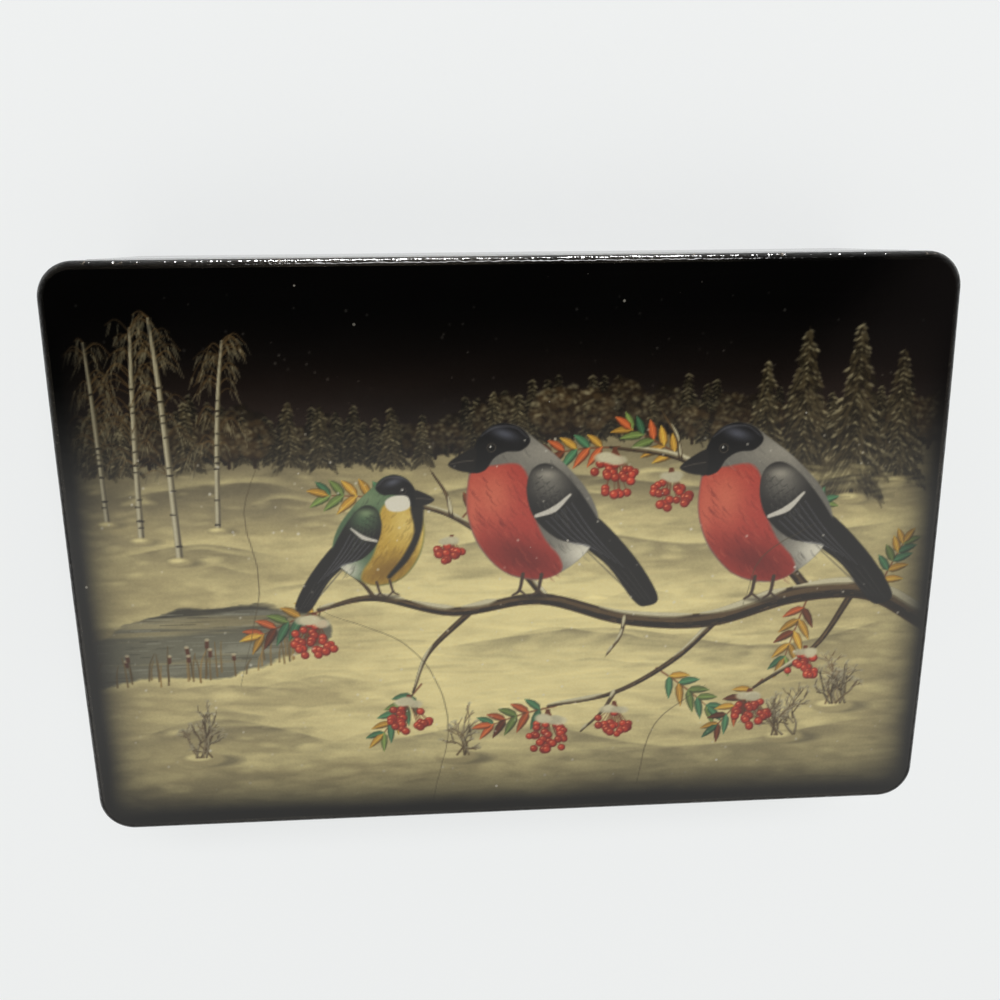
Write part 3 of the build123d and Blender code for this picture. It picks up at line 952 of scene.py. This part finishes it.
def makeAgeGroup():  # dust, smears, scratches and the lacquer's faint ripple
    group, given, put = newGroup("lacquer age", {"Dust": 0.5}, ("Dust", "Smear", "Relief", "Scratch"))
    at = objectPlace(group)
    cells = addNode(group, "ShaderNodeTexVoronoi", {"Vector": at, "Scale": lacquerAge["dustCells"]}).outputs
    pick = addNode(group, "ShaderNodeSeparateColor", {0: cells["Color"]}).outputs
    size = times(group, pick[1], lacquerAge["dustSize"])
    edge = lacquerAge["dustEdge"]
    near = step(group, figure(group, "SUBTRACT", size, cells["Distance"]), -edge, edge)
    rare = figure(group, "SUBTRACT", 1.0, times(group, given["Dust"], lacquerAge["dustShare"]))
    group.links.new(times(group, near, step(group, pick[0], rare, 1.0)), put["Dust"])

    bloom = noise(group, at, *lacquerAge["bloom"])
    sockets = {"Vector": at, "Rotation": lacquerAge["wipesTurn"], "Scale": lacquerAge["wipes"]}
    wipes = noise(group, addNode(group, "ShaderNodeMapping", sockets).outputs[0], 1.0, 3.0)
    smear = times(group, step(group, bloom, *lacquerAge["bloomFrom"]), lacquerAge["bloomShare"])
    wiped = times(group, step(group, wipes, *lacquerAge["wipesFrom"]), lacquerAge["wipesShare"])
    group.links.new(figure(group, "ADD", smear, wiped), put["Smear"])

    peel = times(group, noise(group, at, *lacquerAge["peel"]), lacquerAge["peelShare"])
    group.links.new(figure(group, "ADD", peel, noise(group, at, *lacquerAge["wave"])), put["Relief"])

    marks = 0.0
    for tilt, turn in lacquerAge["scratchRuns"]:
        sockets = {"Vector": at, "Rotation": (0, tilt, turn), "Scale": lacquerAge["scratchSize"]}
        along = addNode(group, "ShaderNodeMapping", sockets, vector_type="TEXTURE").outputs[0]
        lines = noise(group, along, 1.0, 1.0, bend=lacquerAge["scratchBend"])
        marks = figure(group, "MAXIMUM", step(group, lines, *lacquerAge["scratchRare"]), marks)
    group.links.new(times(group, marks, step(group, bloom, *lacquerAge["scratchWhere"])), put["Scratch"])
    return group


outlineGroup = makeOutlineGroup()
ageGroup = makeAgeGroup()


def startMaterial(name):
    material = bpy.data.materials.new(name)
    material.use_nodes = True
    tree = material.node_tree
    tree.nodes.clear()
    shader = addNode(tree, "ShaderNodeBsdfPrincipled")
    tree.links.new(shader.outputs[0], addNode(tree, "ShaderNodeOutputMaterial").inputs[0])
    return material, tree, shader


def useGroup(tree, group, values=None):
    return addNode(tree, "ShaderNodeGroup", values, node_tree=group).outputs


def finishShader(tree, shader, colour, rough, relief, strength, distance):
    bump = addNode(tree, "ShaderNodeBump", {"Height": relief, "Strength": strength, "Distance": distance})
    for label, value in (("Base Color", colour), ("Roughness", rough), ("Normal", bump.outputs[0])):
        tree.links.new(value, shader.inputs[label])


lacquer = {
    "black": shown(4, 4, 4), "blackWarm": shown(11, 9, 7), "warmFrom": (0.50, 0.80),
    "red": shown(178, 36, 22), "redDeep": shown(152, 26, 16), "redFrom": (0.25, 0.75),
    "haze": shown(56, 52, 46), "hazeCover": 0.75, "scratch": shown(122, 116, 104), "scratchCover": 0.35,
    "rubbed": shown(86, 74, 60), "rubbedCover": 0.8, "dust": shown(196, 190, 176), "dustCover": 0.5,
    "mottle": (24.0, 7.0, 0.6), "chips": (420.0, 4.0, 0.7), "chipsFrom": (0.60, 0.70),
    "dents": (640.0, 2.0), "gloss": 0.07, "smear": 0.06, "wornRough": 0.35, "dustAmount": 0.35,
    "ripple": 0.00005, "edgeDents": 5.0,
}
edgeWear = {  # where wear starts and where it is full, metres
    "inset": (0.0011, 0.0004), "foot": (0.0012, 0.0006), "seam": (0.0008, 0.0003), "top": (0.0534, 0.0542),
    "dentInset": (0.0015, 0.0006), "dentTop": (0.0530, 0.0538),
}


def edgeHeights(tree, plan):  # 1 near the foot, the seam and the lid's top edge
    foot = step(tree, plan["Height"], *edgeWear["foot"])
    fromSeam = figure(tree, "ABSOLUTE", figure(tree, "SUBTRACT", plan["Height"], boxShape["seam"]))
    low = figure(tree, "MAXIMUM", foot, step(tree, fromSeam, *edgeWear["seam"]))
    return figure(tree, "MAXIMUM", low, step(tree, plan["Crowned"], *edgeWear["top"]))


def makeLacquer(name, redWhere):
    material, tree, shader = startMaterial(name)
    age = useGroup(tree, ageGroup, {"Dust": lacquer["dustAmount"]})
    plan = useGroup(tree, outlineGroup)
    at = objectPlace(tree)
    mottle = noise(tree, at, *lacquer["mottle"])
    warm = step(tree, mottle, *lacquer["warmFrom"])
    black = mixColour(tree, warm, lacquer["black"], lacquer["blackWarm"])
    black = mixColour(tree, times(tree, age["Smear"], lacquer["hazeCover"]), black, lacquer["haze"])
    black = mixColour(tree, times(tree, age["Scratch"], lacquer["scratchCover"]), black, lacquer["scratch"])
    red = mixColour(tree, step(tree, mottle, *lacquer["redFrom"]), lacquer["redDeep"], lacquer["red"])
    colour = red if redWhere is None else mixColour(tree, redWhere(tree, plan), black, red)
    chips = step(tree, noise(tree, at, *lacquer["chips"]), *lacquer["chipsFrom"])
    onEdge = times(tree, step(tree, plan["Inset"], *edgeWear["inset"]), edgeHeights(tree, plan))
    rubbed = times(tree, onEdge, chips)
    colour = mixColour(tree, times(tree, rubbed, lacquer["rubbedCover"]), colour, lacquer["rubbed"])
    colour = mixColour(tree, times(tree, age["Dust"], lacquer["dustCover"]), colour, lacquer["dust"])
    rough = figure(tree, "MULTIPLY_ADD", age["Smear"], lacquer["smear"], lacquer["gloss"])
    worn = figure(tree, "MAXIMUM", age["Dust"], rubbed)
    rough = figure(tree, "ADD", rough, times(tree, worn, lacquer["wornRough"]))
    dents = figure(tree, "SUBTRACT", noise(tree, at, *lacquer["dents"]), 0.5)
    topEdge = step(tree, plan["Crowned"], *edgeWear["dentTop"])
    lidEdge = times(tree, step(tree, plan["Inset"], *edgeWear["dentInset"]), topEdge)
    relief = figure(tree, "MULTIPLY_ADD", times(tree, dents, lidEdge), lacquer["edgeDents"], age["Relief"])
    finishShader(tree, shader, colour, rough, relief, 1.0, lacquer["ripple"])
    return material


def redInside(tree, plan):
    inset, soft = boxShape["redInset"], boxShape["insetSoft"]
    return step(tree, plan["Inset"], inset - soft, inset + soft)


def redOnTop(tree, plan):
    return step(tree, plan["Height"], boxShape["floorTop"] - boxShape["floorSoft"], boxShape["floorTop"])


def redUnder(tree, plan):
    high, low = boxShape["lidUnder"], boxShape["lidUnder"] - boxShape["underSoft"]
    return times(tree, redInside(tree, plan), step(tree, plan["Height"], high, low))


paintedLacquer = {"dustAmount": 0.45, "dustCover": 0.6, "grain": (1500.0, 3.0, 0.7), "grainShare": 0.18}


def makePaint(name):
    material, tree, shader = startMaterial(name)
    age = useGroup(tree, ageGroup, {"Dust": paintedLacquer["dustAmount"]})
    painted = addNode(tree, "ShaderNodeAttribute", attribute_name="paint", attribute_type="GEOMETRY")
    grain = noise(tree, objectPlace(tree), *paintedLacquer["grain"])
    colour = mixColour(tree, paintedLacquer["grainShare"], painted.outputs["Color"], grain, "OVERLAY")
    colour = mixColour(tree, times(tree, age["Dust"], paintedLacquer["dustCover"]), colour, lacquer["dust"])
    rough = figure(tree, "MULTIPLY_ADD", age["Smear"], lacquer["smear"], lacquer["gloss"])
    rough = figure(tree, "ADD", rough, times(tree, age["Dust"], lacquer["wornRough"]))
    finishShader(tree, shader, colour, rough, age["Relief"], 1.0, lacquer["ripple"])
    return material


hingeMetal = {
    "bright": shown(206, 204, 198), "dull": shown(120, 112, 98), "tarnish": shown(58, 48, 36),
    "drawn": (60, 2600, 2600), "drawnFrom": (0.3, 0.7), "lineBump": 0.12, "lineDeep": 0.0002,
    "stain": (160.0, 6.0, 0.65), "stainFrom": (0.52, 0.72), "stainCover": 0.75,
    "roughFrom": (0.4, 0.75), "rough": 0.22, "roughStain": 0.30,
}


def makeMetal(name):
    material, tree, shader = startMaterial(name)
    shader.inputs["Metallic"].default_value = 1.0
    at = objectPlace(tree)
    drawn = addNode(tree, "ShaderNodeMapping", {"Vector": at, "Scale": hingeMetal["drawn"]})
    lines = noise(tree, drawn.outputs[0], 1.0, 4.0)
    stain = noise(tree, at, *hingeMetal["stain"])
    shine = step(tree, lines, *hingeMetal["drawnFrom"])
    colour = mixColour(tree, shine, hingeMetal["dull"], hingeMetal["bright"])
    stained = times(tree, step(tree, stain, *hingeMetal["stainFrom"]), hingeMetal["stainCover"])
    colour = mixColour(tree, stained, colour, hingeMetal["tarnish"])
    rougher = step(tree, stain, *hingeMetal["roughFrom"])
    rough = figure(tree, "MULTIPLY_ADD", rougher, hingeMetal["roughStain"], hingeMetal["rough"])
    finishShader(tree, shader, colour, rough, lines, hingeMetal["lineBump"], hingeMetal["lineDeep"])
    return material


def dress(material, *names):
    for name in names:
        mesh = nodes[name].data
        mesh.materials.clear()
        mesh.materials.append(material)


hingePieces = ("hinge_body_leaf", "hinge_lid_leaf", "hinge_pin", "body_leaf_rivets", "lid_leaf_rivets")
dress(makeLacquer("wall lacquer", redInside), "side_wall", "lid_rim")
dress(makeLacquer("floor lacquer", redOnTop), "bottom_panel")
dress(makeLacquer("lip lacquer", None), "inner_lip")  # red all over
dress(makeLacquer("lid lacquer", redUnder), "lid_panel")
dress(makeMetal("hinge metal"), *hingePieces)
paintMaterial = makePaint("painted picture")
for band in bands:
    band.data.materials.append(paintMaterial)
print("finishes on")

# studio

studio = {
    "lens": 36.0, "sensor": 36.0, "clip": (0.01, 50.0),
    "cameraAt": (-0.01606, 0.07088, 0.27262), "cameraTurn": (-14.711, -3.593, -0.583),  # metres, degrees
    "floor": shown(246, 248, 248), "floorSize": 60.0, "floorDrop": 0.0003, "floorRough": 0.9,
    "plainFloor": 0.74,  # share of the floor that shows its own colour, without light or shadow
    "horizon": (0.784, 0.797, 0.793), "side": (0.42, 0.42, 0.41), "front": (1.12, 1.11, 1.06),
    "ceiling": (0.014, 0.012, 0.010), "warmRight": (0.105, 0.082, 0.076),
    "frontFrom": (-0.085, -0.27), "frontUp": (0.40, 0.70), "frontFar": (-0.44, -0.60), "frontLoss": -0.36,
    "rightSlant": -0.6, "rightFrom": (0.36, 0.45), "sideUp": (0.95, 0.30), "horizonUp": (0.28, 0.02),
    "aimHeight": 0.03,  # the lamps point at the middle of the box
    "lamps": (  # place, width, height, power, spread in degrees
        ("soft box", (0.14, 0.88, 1.39), 0.8, 0.25, 10.6, 180),
        ("left strip", (-0.135, 1.17, 0.15), 0.19, 0.12, 0.18, 18),
        ("right strip", (0.245, 1.17, 0.15), 0.13, 0.12, 0.12, 18),
    ),
}

scene = bpy.context.scene
view = bpy.data.cameras.new("camera")
view.lens, view.sensor_width, view.sensor_fit = studio["lens"], studio["sensor"], "HORIZONTAL"
view.clip_start, view.clip_end = studio["clip"]
camera = bpy.data.objects.new("camera", view)
scene.collection.objects.link(camera)
camera.location = studio["cameraAt"]
camera.rotation_euler = [math.radians(a) for a in studio["cameraTurn"]]
bpy.context.scene.camera = camera

deselectAll()
bpy.ops.mesh.primitive_plane_add(size=studio["floorSize"], location=(0, 0, -studio["floorDrop"]))
floor = bpy.context.object
floor.name = "floor"
floorMaterial, tree, shader = startMaterial("floor")
floorColour = (*studio["floor"], 1.0)
shader.inputs["Base Color"].default_value = floorColour
shader.inputs["Roughness"].default_value = studio["floorRough"]
rays = tree.nodes.new("ShaderNodeLightPath").outputs
mirrored = figure(tree, "MAXIMUM", rays["Is Glossy Ray"], rays["Is Transmission Ray"])
seen = figure(tree, "MAXIMUM", rays["Is Camera Ray"], mirrored)
plainFloor = addNode(tree, "ShaderNodeEmission", {"Color": floorColour, "Strength": 1.0})
sockets = {0: times(tree, seen, studio["plainFloor"]), 1: shader.outputs[0], 2: plainFloor.outputs[0]}
both = addNode(tree, "ShaderNodeMixShader", sockets)
tree.links.new(both.outputs[0], tree.nodes["Material Output"].inputs[0])
floor.data.materials.append(floorMaterial)

bareLacquer = bpy.data.collections.new("bare lacquer")  # every piece but the picture
for piece in nodes.values():
    bareLacquer.objects.link(piece)
for name, place, wide, high, power, spread in studio["lamps"]:
    lamp = bpy.data.lights.new(name, "AREA")
    lamp.shape, lamp.size, lamp.size_y, lamp.energy = "RECTANGLE", wide, high, power
    lamp.spread = math.radians(spread)
    holder = bpy.data.objects.new(name, lamp)
    scene.collection.objects.link(holder)
    holder.location = place
    away = holder.location.copy()
    away.z -= studio["aimHeight"]
    holder.rotation_euler = away.to_track_quat("Z", "Y").to_euler()
    if "strip" in name:  # low lamps for the lid's back edge, kept off the floor and the picture
        holder.light_linking.receiver_collection = bareLacquer

world = bpy.data.worlds.new("studio")
scene.world = world
world.use_nodes = True
tree = world.node_tree
tree.nodes.clear()
direction = tree.nodes.new("ShaderNodeTexCoord").outputs["Generated"]
aimX, aimY, aimZ = addNode(tree, "ShaderNodeSeparateXYZ", {0: direction}).outputs
front = times(tree, step(tree, aimY, *studio["frontFrom"]), step(tree, aimZ, *studio["frontUp"]))
farFront = step(tree, aimY, *studio["frontFar"])
front = times(tree, front, figure(tree, "MULTIPLY_ADD", farFront, studio["frontLoss"], 1.0))
toRight = figure(tree, "MULTIPLY_ADD", aimY, studio["rightSlant"], aimX)
colour = mixColour(tree, step(tree, toRight, *studio["rightFrom"]), studio["ceiling"], studio["warmRight"])
colour = mixColour(tree, step(tree, aimZ, *studio["sideUp"]), colour, studio["side"])
colour = mixColour(tree, front, colour, studio["front"])
colour = mixColour(tree, step(tree, aimZ, *studio["horizonUp"]), colour, studio["horizon"])
sky = addNode(tree, "ShaderNodeBackground", {"Color": colour, "Strength": 1.0})
tree.links.new(sky.outputs[0], addNode(tree, "ShaderNodeOutputWorld").inputs[0])
bpy.context.scene.view_settings.view_transform = "Standard"
print("studio ready")
